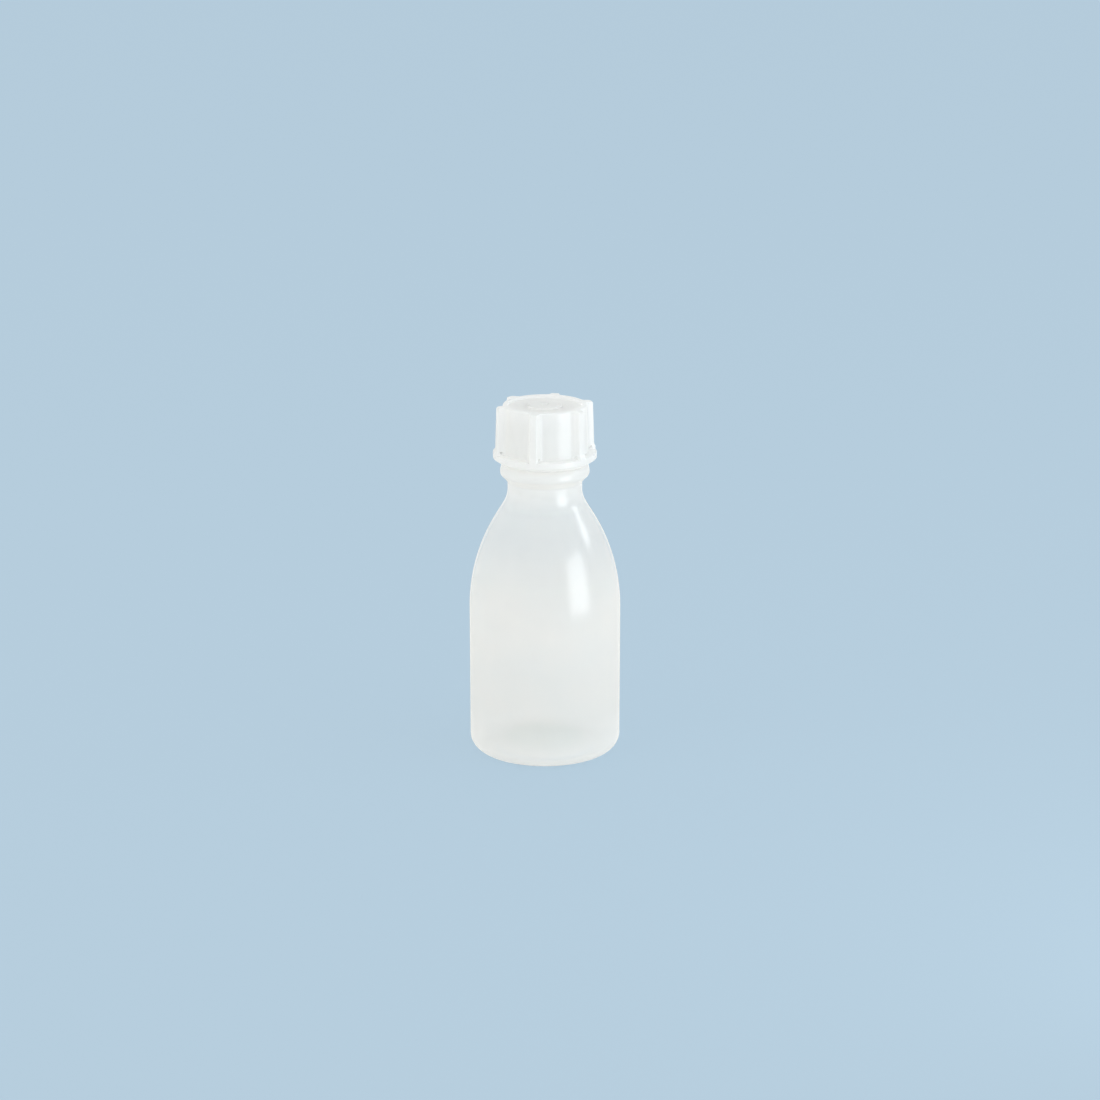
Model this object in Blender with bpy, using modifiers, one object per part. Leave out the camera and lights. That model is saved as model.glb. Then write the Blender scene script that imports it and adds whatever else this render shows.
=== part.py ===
# Small round narrow-neck bottle with a ribbed screw cap, about 50 ml.
# Metres, +Z up. The origin is the centre of the standing ring.
# The bottle's axis is Z, and it is also the axis of the cap's thread.

import math

import bmesh
import bpy
from mathutils import Matrix

# Bottle body
BODY_RADIUS = 0.0190
BODY_STRAIGHT_TOP = 0.0374
HEEL_RADIUS = 0.0037
SHOULDER_RADIUS = 0.0451
SHOULDER_RUN = 0.0041
NECK_FILLET_RADIUS = 0.0075
NECK_LENGTH = 0.00185
BODY_WALL = 0.0009
BASE_WALL = 0.0012
STANDING_RING_WIDTH = 0.0028
PUSH_UP_STEP = 0.0007
PUSH_UP_CROWN = 0.0009

# Thread, right-handed: an 18 mm neck with a 3 mm pitch
THREAD_CREST_RADIUS = 0.0090
THREAD_DEPTH = 0.00095
THREAD_PITCH = 0.0030
THREAD_BASE_WIDTH = 0.0015
THREAD_CREST_WIDTH = 0.0007
THREAD_CLEARANCE = 0.0003
THREAD_FADE = math.radians(45)
RIDGE_ROOT_SHARE = 0.4

# Neck finish and the bead below the cap
FINISH_HEIGHT = 0.0115
FINISH_WALL = 0.00185
NECK_STEP = 0.0003
BEAD_HEIGHT = 0.0048
BEAD_PEAK_HEIGHT = 0.0025
BEAD_OVERHANG = 0.00183
BEAD_ROUND = 0.0014
BEAD_CONE_ANGLE = math.radians(60)
BORE_FUNNEL = 0.0016
RIM_ROUND = 0.0004
THREAD_ABOVE_BEAD = 0.0005
THREAD_BELOW_RIM = 0.0015

# Sealing insert, which is snapped into the cap above its thread
SEAT_GAP = 0.0003
FLANGE_THICKNESS = 0.0010
PLUG_LENGTH = 0.0045
PLUG_WALL = 0.0008
PLUG_TAPER = 0.0004

# Screw cap
SKIRT_WALL = 0.00155
SKIRT_DRAFT = 0.00045
CAP_EDGE_ROUND = 0.0004
PANEL_THICKNESS = 0.0010
RIM_HEIGHT = 0.0007
RIM_WIDTH = 0.0008
BOSS_RADIUS = 0.00423
BOSS_HEIGHT = 0.00065
GATE_RADIUS = 0.0011
GATE_DEPTH = 0.00025
COLLAR_PROUD = 0.00205
COLLAR_HEIGHT = 0.0025
COLLAR_EDGE = 0.0002
COLLAR_CONE_HEIGHT = 0.00105
COLLAR_FOOT_PROUD = 0.0005
LEAD_IN = 0.0004
THREAD_ABOVE_LEAD_IN = 0.0010

# The cap's ribs, whose feet stand on the collar, and the holes for a sealing wire
RIB_COUNT = 6
RIB_PHASE = math.radians(17)
RIB_WIDTH = 0.00185
RIB_FLARE = 0.25
RIB_PROUD = 0.00193
RIB_END_GAP = 0.0001
RIB_TOP_ROUND = 0.0005
RIB_EDGE = 0.0003
FOOT_HEIGHT = 0.0039
FOOT_PEAK_HEIGHT = 0.0027
FOOT_PROUD = 0.00033
FOOT_BULGE = 0.8
FOOT_ROUND = 0.00065
FOOT_SUNK = 0.0012
WIRE_HOLE_RADIUS = 0.0004
WIRE_HOLE_ABOVE_COLLAR = 0.0005
WIRE_HOLE_COVER = 0.0010

# Smoothness of the turned shapes
SEGMENTS = 40
CHORD_ERROR = 0.00006
COARSEST_CHORD = 0.5
CROWN_STEPS = 3
BEVEL_SEGMENTS = 2
BEVEL_ANGLE = math.radians(50)
HOLE_SIDES = 12
SHARP_ANGLE = math.radians(32)
MERGE = 0.000001

# Natural polyethylene: the bottle and insert are soft and milky, the cap a little whiter
BOTTLE_COLOUR = (0.80, 0.83, 0.82)
INSERT_COLOUR = (0.86, 0.87, 0.86)
CAP_COLOUR = (0.84, 0.86, 0.86)
BOTTLE_ROUGHNESS = 0.30
INSERT_ROUGHNESS = 0.40
CAP_ROUGHNESS = 0.35

# Radii and heights that follow from the sizes above
neck_radius = THREAD_CREST_RADIUS + NECK_STEP
root_radius = THREAD_CREST_RADIUS - THREAD_DEPTH
bore_radius = root_radius - FINISH_WALL
flank_slope = (THREAD_BASE_WIDTH - THREAD_CREST_WIDTH) / (2 * THREAD_DEPTH)
bead_radius = neck_radius + BEAD_OVERHANG
curve_sum = SHOULDER_RADIUS + NECK_FILLET_RADIUS
curve_reach = math.hypot(curve_sum, SHOULDER_RUN)
drawn_in = BODY_RADIUS - neck_radius
shoulder_angle = math.acos((curve_sum - drawn_in) / curve_reach) - math.atan2(SHOULDER_RUN, curve_sum)
shoulder_rise = curve_sum * math.sin(shoulder_angle) + SHOULDER_RUN * math.cos(shoulder_angle)
neck_bottom = BODY_STRAIGHT_TOP + shoulder_rise
bead_bottom = neck_bottom + NECK_LENGTH
bead_top = bead_bottom + BEAD_HEIGHT
rim_top = bead_top + FINISH_HEIGHT

flange_bottom = rim_top + SEAT_GAP
cap_bottom = bead_top + SEAT_GAP
cap_bore = THREAD_CREST_RADIUS + THREAD_CLEARANCE
ceiling = flange_bottom + FLANGE_THICKNESS + SEAT_GAP - cap_bottom
panel_top = ceiling + PANEL_THICKNESS
cap_height = panel_top + RIM_HEIGHT
skirt_radius = cap_bore + SKIRT_WALL
top_radius = skirt_radius - SKIRT_DRAFT


def arc(centre_r, centre_z, radius, start, end, height=None):
    """Points on an arc by angle from +X, or on an ellipse where a height is given."""
    height = height or radius
    step = 2 * math.acos(1 - min(COARSEST_CHORD, CHORD_ERROR / radius))
    count = math.ceil(abs(end - start) / step)
    angles = [start + (end - start) * i / count for i in range(count + 1)]
    return [(centre_r + radius * math.cos(a), centre_z + height * math.sin(a)) for a in angles]


def new_collection(name):
    collection = bpy.data.collections.new(name)
    bpy.context.scene.collection.children.link(collection)
    return collection


def new_material(name, colour, roughness):
    material = bpy.data.materials.new(name)
    material.use_nodes = True
    shader = material.node_tree.nodes["Principled BSDF"]
    shader.inputs["Base Color"].default_value = (*colour, 1)
    shader.inputs["Roughness"].default_value = roughness
    shader.inputs["Metallic"].default_value = 0
    material.diffuse_color = (*colour, 1)
    return material


def add_object(name, data, collection):
    obj = bpy.data.objects.new(name, data)
    collection.objects.link(obj)
    return obj


def outline_mesh(name, points, closed=False):
    """A line of edges in the XZ plane, without repeated points."""
    kept = [points[0]]
    for point in points[1:]:
        if math.dist(point, kept[-1]) > MERGE:
            kept.append(point)
    edges = [(i, i + 1) for i in range(len(kept) - 1)]
    if closed:
        edges.append((len(kept) - 1, 0))
    mesh = bpy.data.meshes.new(name)
    mesh.from_pydata([(r, 0, z) for r, z in kept], edges, [])
    return mesh


def turned(name, points, collection):
    """A profile that runs down its outer side, turned about Z."""
    obj = add_object(name, outline_mesh(name, points), collection)
    screw = obj.modifiers.new("Turn", "SCREW")
    screw.axis = "Z"
    screw.angle = math.tau
    screw.steps = SEGMENTS
    screw.render_steps = SEGMENTS
    screw.use_merge_vertices = True
    screw.merge_threshold = MERGE
    return obj


def apply_modifiers(obj):
    bpy.context.view_layer.update()
    shaped = obj.evaluated_get(bpy.context.evaluated_depsgraph_get())
    mesh = bpy.data.meshes.new_from_object(shaped)
    obj.modifiers.clear()
    obj.data = mesh


def add_boolean(target, other, operation):
    modifier = target.modifiers.new(other.name, "BOOLEAN")
    modifier.object = other
    modifier.operation = operation
    modifier.solver = "EXACT"


def make_guide(obj):
    """A shape that cuts or joins another is shown as wires and isn't a piece."""
    obj.hide_render = True
    obj.display_type = "WIRE"


def finish_piece(obj, material):
    apply_modifiers(obj)
    obj.data.materials.clear()
    obj.data.materials.append(material)
    obj.data.shade_smooth()
    obj.data.set_sharp_from_angle(angle=SHARP_ANGLE)


def thread_ridge(name, wall_radius, crest_radius, bottom, top, start, guides):
    """A helical ridge on a round wall, sinking into the wall at both ends.

    bottom and top are the heights of its middle line at the two ends, and start is
    the angle about Z of the lower end.
    """
    height = crest_radius - wall_radius
    sunk = wall_radius - RIDGE_ROOT_SHARE * height
    half_crest = THREAD_CREST_WIDTH / 2
    half_sunk = half_crest + flank_slope * abs(crest_radius - sunk)
    section = [
        (sunk, bottom - half_sunk),
        (crest_radius, bottom - half_crest),
        (crest_radius, bottom + half_crest),
        (sunk, bottom + half_sunk),
    ]
    ridge = add_object(name, outline_mesh(name, section, closed=True), guides)
    sweep = math.tau * (top - bottom) / THREAD_PITCH
    screw = ridge.modifiers.new("Helix", "SCREW")
    screw.axis = "Z"
    screw.angle = sweep
    screw.screw_offset = top - bottom
    screw.steps = math.ceil(SEGMENTS * sweep / math.tau)
    screw.render_steps = screw.steps
    apply_modifiers(ridge)

    shape = bmesh.new()
    shape.from_mesh(ridge.data)
    faded_end = (sunk + wall_radius) / 2
    for vert in shape.verts:
        radius = math.hypot(vert.co.x, vert.co.y)
        if abs(radius - crest_radius) < abs(radius - sunk):
            along = math.tau * (vert.co.z - bottom) / THREAD_PITCH
            rise = max(0, min(along, sweep - along)) / THREAD_FADE
            faded = faded_end + (crest_radius - faded_end) * min(1, rise)
            vert.co.xy *= faded / radius
    bmesh.ops.holes_fill(shape, edges=shape.edges)
    bmesh.ops.rotate(shape, verts=shape.verts, matrix=Matrix.Rotation(start, 3, "Z"))
    bmesh.ops.recalc_face_normals(shape, faces=shape.faces)
    shape.to_mesh(ridge.data)
    shape.free()
    make_guide(ridge)
    return ridge


def body_side(inset):
    """The body's side from the neck down to the heel, moved inwards by inset."""
    fillet_centre = neck_radius + NECK_FILLET_RADIUS
    fillet = arc(fillet_centre, neck_bottom, NECK_FILLET_RADIUS + inset, math.pi, math.pi + shoulder_angle)
    shoulder_centre = BODY_RADIUS - SHOULDER_RADIUS
    shoulder = arc(shoulder_centre, BODY_STRAIGHT_TOP, SHOULDER_RADIUS - inset, shoulder_angle, 0)
    heel = arc(BODY_RADIUS - HEEL_RADIUS, HEEL_RADIUS, HEEL_RADIUS - inset, 0, -math.pi / 2)
    return fillet + shoulder + heel


def base_middle(lift):
    """The pushed-up middle of the base from the standing ring to the axis, raised by lift."""
    ring_inner = BODY_RADIUS - HEEL_RADIUS - STANDING_RING_WIDTH
    crown_radius = ring_inner - PUSH_UP_STEP
    points = [(ring_inner, lift)]
    for i in range(CROWN_STEPS + 1):
        share = 1 - i / CROWN_STEPS
        points.append((crown_radius * share, lift + PUSH_UP_STEP + PUSH_UP_CROWN * (1 - share**2)))
    return points


def bottle_profile():
    """From the middle of the floor inside, up and over the rim, and down outside."""
    floor = base_middle(BASE_WALL)[::-1]
    inside = body_side(BODY_WALL)[::-1]
    bore = [
        (neck_radius - BODY_WALL, bead_bottom),
        (bore_radius, bead_bottom + BORE_FUNNEL),
    ]
    rim_z = rim_top - RIM_ROUND
    rim = arc(bore_radius + RIM_ROUND, rim_z, RIM_ROUND, math.pi, math.pi / 2)
    rim += arc(root_radius - RIM_ROUND, rim_z, RIM_ROUND, math.pi / 2, 0)
    bead_centre = bead_radius - BEAD_ROUND
    peak_z = bead_bottom + BEAD_PEAK_HEIGHT
    bead = [(root_radius, bead_top)]
    bead += arc(bead_centre, peak_z, BEAD_ROUND, math.pi / 2, 0, height=bead_top - peak_z)
    bead += arc(bead_centre, peak_z, BEAD_ROUND, 0, -BEAD_CONE_ANGLE)
    bead.append((neck_radius, bead_bottom))
    return floor + inside + bore + rim + bead + body_side(0) + base_middle(0)


def make_bottle(parts, guides, material):
    bottle = turned("bottle", bottle_profile(), parts)
    bottom = bead_top + THREAD_ABOVE_BEAD + THREAD_BASE_WIDTH / 2
    top = rim_top - THREAD_BELOW_RIM - THREAD_BASE_WIDTH / 2
    ridge = thread_ridge("neck_thread", root_radius, THREAD_CREST_RADIUS, bottom, top, 0, guides)
    add_boolean(bottle, ridge, "UNION")
    finish_piece(bottle, material)
    return bottom


def make_insert(parts, material):
    """A hollow plug under a flange; its own height 0 is the underside of the flange."""
    flange_radius = cap_bore - SEAT_GAP
    plug_radius = bore_radius - SEAT_GAP
    tip_radius = plug_radius - PLUG_TAPER
    profile = [
        (0, FLANGE_THICKNESS),
        (flange_radius, FLANGE_THICKNESS),
        (flange_radius, 0),
        (plug_radius, 0),
        (tip_radius, -PLUG_LENGTH),
        (tip_radius - PLUG_WALL, -PLUG_LENGTH),
        (plug_radius - PLUG_WALL, 0),
        (0, 0),
    ]
    insert = turned("sealing_insert", profile, parts)
    finish_piece(insert, material)
    return insert


def cap_profile():
    """From the middle of the top, down outside and up inside; height 0 is the cap's bottom."""
    rim_outer = top_radius - CAP_EDGE_ROUND
    rim_inner = rim_outer - RIM_WIDTH
    boss_top = panel_top + BOSS_HEIGHT
    collar_radius = skirt_radius + COLLAR_PROUD
    profile = [
        (0, boss_top - GATE_DEPTH),
        (GATE_RADIUS, boss_top - GATE_DEPTH),
        (GATE_RADIUS, boss_top),
        (BOSS_RADIUS, boss_top),
        (BOSS_RADIUS, panel_top),
        (rim_inner, panel_top),
        (rim_inner, cap_height),
    ]
    profile += arc(rim_outer, cap_height - CAP_EDGE_ROUND, CAP_EDGE_ROUND, math.pi / 2, 0)
    profile += [
        (skirt_line(COLLAR_HEIGHT), COLLAR_HEIGHT),
        (collar_radius - COLLAR_EDGE, COLLAR_HEIGHT),
        (collar_radius, COLLAR_HEIGHT - COLLAR_EDGE),
        (collar_radius, COLLAR_CONE_HEIGHT),
        (skirt_radius + COLLAR_FOOT_PROUD, 0),
        (cap_bore + LEAD_IN, 0),
        (cap_bore, LEAD_IN),
        (cap_bore, ceiling),
        (0, ceiling),
    ]
    return profile


def skirt_line(z):
    """The skirt's outer radius at a height above the cap's bottom."""
    return skirt_radius - SKIRT_DRAFT * z / (cap_height - CAP_EDGE_ROUND)


def rib_outline():
    """A rib seen from its side, as distances from the axis and heights."""
    inner = cap_bore + SKIRT_WALL / 2
    top = cap_height - RIB_END_GAP
    foot_radius = skirt_line(FOOT_PEAK_HEIGHT) + RIB_PROUD + FOOT_PROUD
    round_z = top - RIB_TOP_ROUND
    round_r = skirt_line(round_z) + RIB_PROUD - RIB_TOP_ROUND
    outline = [(inner, top)]
    outline += arc(round_r, round_z, RIB_TOP_ROUND, math.pi / 2, 0)
    outline.append((skirt_line(FOOT_HEIGHT) + RIB_PROUD, FOOT_HEIGHT))
    outline.append((foot_radius - (1 - FOOT_BULGE) * FOOT_PROUD, (FOOT_HEIGHT + FOOT_PEAK_HEIGHT) / 2))
    under = FOOT_PEAK_HEIGHT - FOOT_SUNK
    outline += arc(foot_radius - FOOT_ROUND, FOOT_PEAK_HEIGHT, FOOT_ROUND, 0, -math.pi / 2, height=under)
    outline.append((inner, FOOT_SUNK))
    return outline, foot_radius


def make_rib(index, guides):
    """One rib with its wire hole, at its place around the cap."""
    outline, foot_radius = rib_outline()
    curve = bpy.data.curves.new(f"rib_outline_{index}", "CURVE")
    curve.dimensions = "2D"
    curve.fill_mode = "BOTH"
    curve.extrude = RIB_WIDTH / 2
    spline = curve.splines.new("POLY")
    spline.points.add(len(outline) - 1)
    for point, (r, z) in zip(spline.points, outline):
        point.co = (r, z, 0, 1)
    spline.use_cyclic_u = True
    flat = add_object(curve.name, curve, guides)
    bpy.context.view_layer.update()
    mesh = bpy.data.meshes.new_from_object(flat.evaluated_get(bpy.context.evaluated_depsgraph_get()))
    bpy.data.objects.remove(flat)

    # Stood upright, welded and made wider towards the skirt
    shape = bmesh.new()
    shape.from_mesh(mesh)
    bmesh.ops.remove_doubles(shape, verts=shape.verts, dist=MERGE)
    bmesh.ops.rotate(shape, verts=shape.verts, matrix=Matrix.Rotation(math.pi / 2, 3, "X"))
    tip = skirt_radius + RIB_PROUD
    for vert in shape.verts:
        half_width = RIB_WIDTH / 2 + RIB_FLARE * (tip - vert.co.x)
        vert.co.y = math.copysign(half_width, vert.co.y)
    bmesh.ops.recalc_face_normals(shape, faces=shape.faces)
    shape.to_mesh(mesh)
    shape.free()
    rib = add_object(f"rib_{index}", mesh, guides)
    bevel = rib.modifiers.new("Edges", "BEVEL")
    bevel.width = RIB_EDGE
    bevel.segments = BEVEL_SEGMENTS
    bevel.limit_method = "ANGLE"
    bevel.angle_limit = BEVEL_ANGLE

    hole_r = foot_radius - WIRE_HOLE_COVER - WIRE_HOLE_RADIUS
    hole_z = COLLAR_HEIGHT + WIRE_HOLE_ABOVE_COLLAR
    shape = bmesh.new()
    bmesh.ops.create_cone(
        shape, cap_ends=True, segments=HOLE_SIDES, radius1=WIRE_HOLE_RADIUS,
        radius2=WIRE_HOLE_RADIUS, depth=2 * (RIB_WIDTH + RIB_FLARE * RIB_PROUD),
    )
    bmesh.ops.rotate(shape, verts=shape.verts, matrix=Matrix.Rotation(math.pi / 2, 3, "X"))
    bmesh.ops.translate(shape, verts=shape.verts, vec=(hole_r, 0, hole_z))
    hole_mesh = bpy.data.meshes.new(f"wire_hole_{index}")
    shape.to_mesh(hole_mesh)
    shape.free()
    hole = add_object(hole_mesh.name, hole_mesh, guides)
    add_boolean(rib, hole, "DIFFERENCE")
    apply_modifiers(rib)
    rib.data.transform(Matrix.Rotation(RIB_PHASE + math.tau * index / RIB_COUNT, 4, "Z"))
    make_guide(hole)
    make_guide(rib)
    return rib


def make_cap(parts, guides, material, neck_thread_bottom):
    cap = turned("screw_cap", cap_profile(), parts)
    for index in range(RIB_COUNT):
        add_boolean(cap, make_rib(index, guides), "UNION")

    # The cap's ridge lies under the neck's, a seat gap away, as when the cap is tight
    below = THREAD_BASE_WIDTH - flank_slope * (cap_bore - root_radius) + SEAT_GAP
    bottom = LEAD_IN + THREAD_ABOVE_LEAD_IN + THREAD_BASE_WIDTH / 2
    top = flange_bottom - cap_bottom - SEAT_GAP - THREAD_BASE_WIDTH / 2
    start = math.tau * (cap_bottom + bottom + below - neck_thread_bottom) / THREAD_PITCH
    crest = root_radius + THREAD_CLEARANCE
    ridge = thread_ridge("cap_thread", cap_bore, crest, bottom, top, start, guides)
    add_boolean(cap, ridge, "UNION")
    finish_piece(cap, material)
    return cap


def main():
    for obj in list(bpy.data.objects):
        bpy.data.objects.remove(obj)
    parts = new_collection("narrow_neck_bottle")
    guides = new_collection("cutters")
    bottle_material = new_material("bottle", BOTTLE_COLOUR, BOTTLE_ROUGHNESS)
    neck_thread_bottom = make_bottle(parts, guides, bottle_material)
    insert_material = new_material("sealing_insert", INSERT_COLOUR, INSERT_ROUGHNESS)
    insert = make_insert(parts, insert_material)
    cap_material = new_material("screw_cap", CAP_COLOUR, CAP_ROUGHNESS)
    cap = make_cap(parts, guides, cap_material, neck_thread_bottom)

    # The cap and its insert leave together along the bottle's axis
    travel = add_object("cap_travel", None, parts)
    travel.location.z = cap_bottom
    cap.parent = travel
    insert.parent = travel
    insert.location.z = flange_bottom - cap_bottom


main()
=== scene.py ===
# The looks of a small round narrow-neck bottle of natural polyethylene with a ribbed screw cap.
# Metres, +Z up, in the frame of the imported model. The photograph looks along +Y, slightly down.

import math

import bmesh
import bpy
from mathutils import Matrix, Vector


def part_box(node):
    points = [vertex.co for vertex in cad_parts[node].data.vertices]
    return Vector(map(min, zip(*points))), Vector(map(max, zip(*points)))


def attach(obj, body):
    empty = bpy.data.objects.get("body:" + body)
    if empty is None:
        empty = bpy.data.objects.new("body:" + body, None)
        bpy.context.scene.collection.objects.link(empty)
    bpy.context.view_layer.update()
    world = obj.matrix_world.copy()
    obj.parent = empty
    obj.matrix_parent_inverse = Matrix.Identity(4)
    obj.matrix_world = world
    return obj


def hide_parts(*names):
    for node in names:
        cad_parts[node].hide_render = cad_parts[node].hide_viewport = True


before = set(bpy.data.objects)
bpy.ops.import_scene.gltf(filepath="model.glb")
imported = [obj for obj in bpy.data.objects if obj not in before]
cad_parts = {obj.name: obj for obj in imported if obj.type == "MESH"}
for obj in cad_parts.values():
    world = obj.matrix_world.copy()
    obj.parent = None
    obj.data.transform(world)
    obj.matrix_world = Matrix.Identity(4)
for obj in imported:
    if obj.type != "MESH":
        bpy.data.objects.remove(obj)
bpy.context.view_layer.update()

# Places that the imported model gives
bottle_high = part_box("bottle")[1]
insert_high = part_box("sealing_insert")[1]
cap_low, cap_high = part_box("screw_cap")
BODY_RADIUS = bottle_high.x
RIM_TOP = bottle_high.z
FLANGE_RADIUS = insert_high.x
FLANGE_TOP = insert_high.z
CAP_BOTTOM = cap_low.z
CAP_TOP = cap_high.z

# Bottle body
BODY_STRAIGHT_TOP = 0.0374
HEEL_RADIUS = 0.0037
SHOULDER_RADIUS = 0.0451
SHOULDER_RUN = 0.0041
NECK_RADIUS = 0.0093
NECK_FILLET_RADIUS = 0.0075
NECK_LENGTH = 0.00185
BODY_WALL = 0.0009
BASE_WALL = 0.0012
STANDING_RING_WIDTH = 0.0028
PUSH_UP_STEP = 0.0007
PUSH_UP_CROWN = 0.0009

# Slow waves in the blown wall. The two standing waves each have a share, a count around the
# body with its phase, and the height of one radian with its phase. The slanted wave, whose
# crests wind round the body, has a share, a count and a height.
WAVINESS = 0.00003
BROAD_WAVE = (1.0, 2, 0.7, 0.0081, 0.4)
SLANTED_WAVE = (0.7, 3, 0.0127)
NARROW_WAVE = (0.5, 5, 1.9, 0.0052, 0.0)
WAVE_SHARES = 2.2

# Marks of the blow mould
PARTING_ANGLE = math.radians(9)
PARTING_PROUD = 0.00006
PARTING_WIDTH = 0.00030
PINCH_LENGTH = 0.0120
PINCH_WIDTH = 0.0009
PINCH_PROUD = 0.0004
PINCH_ROUND = PINCH_WIDTH / 3
PINCH_ROUND_STEPS = 3

# Neck finish, bead and thread
FINISH_RADIUS = 0.00805
BORE_RADIUS = 0.0062
BORE_FUNNEL = 0.0016
BEAD_HEIGHT = 0.0048
BEAD_PEAK_HEIGHT = 0.0025
BEAD_OVERHANG = 0.00183
BEAD_ROUND = 0.0014
BEAD_CONE_ANGLE = math.radians(60)
BEAD_FOOT_FILLET = 0.0007
RIM_ROUND = 0.0004
THREAD_DEPTH = 0.00095
THREAD_PITCH = 0.0030
THREAD_BASE_WIDTH = 0.0015
THREAD_CREST_WIDTH = 0.0007
THREAD_FADE = math.radians(45)
THREAD_ABOVE_BEAD = 0.0005
THREAD_BELOW_RIM = 0.0015

# Sealing insert
SEAT_GAP = 0.0003
FLANGE_THICKNESS = 0.0010
PLUG_LENGTH = 0.0045
PLUG_WALL = 0.0008
PLUG_TAPER = 0.0004
INSERT_ROUND = 0.0002

# Screw cap, with heights above its bottom
CAP_BORE = 0.0093
SKIRT_RADIUS = 0.01085
SKIRT_DRAFT = 0.00045
CAP_EDGE_ROUND = 0.0004
PANEL_THICKNESS = 0.0010
RIM_WIDTH = 0.0008
BOSS_RADIUS = 0.00423
BOSS_HEIGHT = 0.00065
SMALL_ROUND = 0.00018
GATE_RADIUS = 0.0011
GATE_DEPTH = 0.00012
NUB_RADIUS = 0.0004
BOSS_ROUND = 0.0003
COLLAR_PROUD = 0.00205
COLLAR_HEIGHT = 0.0025
COLLAR_EDGE = 0.0002
COLLAR_CONE_HEIGHT = 0.00105
COLLAR_FOOT_PROUD = 0.0005
LEAD_IN = 0.0004
CAP_THREAD_ABOVE_LEAD_IN = 0.0010
THREAD_CLEARANCE = 0.0003

# The cap's ribs, whose feet stand on the collar, and the holes for a sealing wire
RIB_COUNT = 6
RIB_PHASE = math.radians(17)
RIB_WIDTH = 0.00185
RIB_FLARE = 0.25
RIB_PROUD = 0.00193
RIB_END_GAP = 0.0001
RIB_TOP_ROUND = 0.0005
RIB_TIP_ROUND = 0.00045
RIB_ROOT_FILLET = 0.0010
FOOT_HEIGHT = 0.0039
FOOT_PEAK_HEIGHT = 0.0027
FOOT_PROUD = 0.00033
FOOT_ROUND = 0.00065
FOOT_SUNK = 0.0012
WIRE_HOLE_RADIUS = 0.0004
WIRE_HOLE_ABOVE_COLLAR = 0.0005
WIRE_HOLE_COVER = 0.0010
WIRE_ROD_LENGTH = 3 * RIB_WIDTH

# Smoothness
ARC_STEP = math.radians(9)
FINE_ARC_STEP = ARC_STEP / 4
RIB_TOP_ARC_STEP = math.radians(13)
STEP_ALLOWANCE = 1.001
BOTTLE_COLUMNS = 180
INSERT_COLUMNS = 96
GAP_COLUMNS = 12
WIRE_HOLE_SIDES = 24
BODY_ROW = 0.002
CROWN_ROW = 0.001
RIB_ROW = 0.0022
FOOT_ROW = 0.0002
THREAD_ROW = 0.00008
RIB_TOP_SHARES = (0.25, 0.6)
MERGE_DISTANCE = SMALL_ROUND / 20
SHARP_ANGLE = math.radians(65)

# Where the plastics change: how far a face leans or lies flat, and how far inside the base's
# step the painted shadow on the base's middle starts
INWARD_LEAN = 0.2
FLOOR_SLOPE = 0.4
FLAT_SLOPE = 0.8
PAINTED_SHADOW_INSET = 0.0024

# The photograph's camera: a square frame of 1100 pixels
CAMERA_PLACE = (0.001275, -0.700, 0.2589)
CAMERA_PITCH = math.radians(16.48)
CAMERA_CLIP = (0.01, 50)
FRAME_PIXELS = 1100
FOCAL_PIXELS = 2909
SENSOR_WIDTH = 36.0

# Colours, linear
GROUND = (0.468, 0.610, 0.723)
NEUTRAL = (0.92, 0.92, 0.92)
CLEAR = (1, 1, 1)
WHITE = (0.985, 0.985, 0.970)
BOTTLE_LIGHT = (0.948, 0.922, 0.882)
BOTTLE_SHADE = (0.920, 0.912, 0.882)
# Painted shadow: a dark blue-green that stands for the ground in the bottle's shadow, seen
# through the base's middle
BASE_PAINTED_SHADOW = (0.61, 0.75, 0.72)
CAP_LIGHT = (0.979, 0.979, 0.970)
CAP_SHADE = (0.964, 0.972, 0.967)
INNER_LIGHT = (0.985, 0.985, 0.975)
INNER_SHADE = (0.970, 0.978, 0.972)

# What all the plastics share. The fades are from facing the eye to grazing it.
REFRACTION = 1.51
SHEEN = 0.35
SHEEN_ROUGHNESS = 0.22
SHEEN_TINT = (1.0, 0.97, 0.92)
COAT_FADE = (0.70, 0.95)
CLEAR_FADE = (0.80, 0.98)
BUMP_STRENGTH = 0.35
NOISE_BAND = (0.35, 0.65)
FLOW_STRETCH = (1, 1, 0.08)

# Noises: scale per metre and detail
CLOUD_NOISE = (75, 3)
PATCH_NOISE = (160, 4)
FLOW_NOISE = (700, 2)
GRAIN_NOISE = (2600, 2)

# The bottle's share of clear plastic and of whiteness by height, as stops of (height, share)
BOTTLE_CLEARNESS = [
    (0.003, 0.28), (0.013, 0.43), (0.034, 0.33), (0.056, 0.65),
    (0.063, 0.57), (0.070, 0.22), (0.0745, 0.22), (0.0755, 0.6),
]
# Whitening: partly the thicker, milkier wall at the heel and the neck, partly painted light that
# lifts the heel and the neck under the cap out of their shade
BOTTLE_WHITENESS_AND_PAINTED_LIGHT = [(0.002, 0.7), (0.014, 0), (0.058, 0), (0.067, 0.7)]

# Stage
FLOOR_SIZE = 12
FLOOR_DROP = 0.00002
FLOOR_SHADOW_SHARE = 0.2

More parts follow.
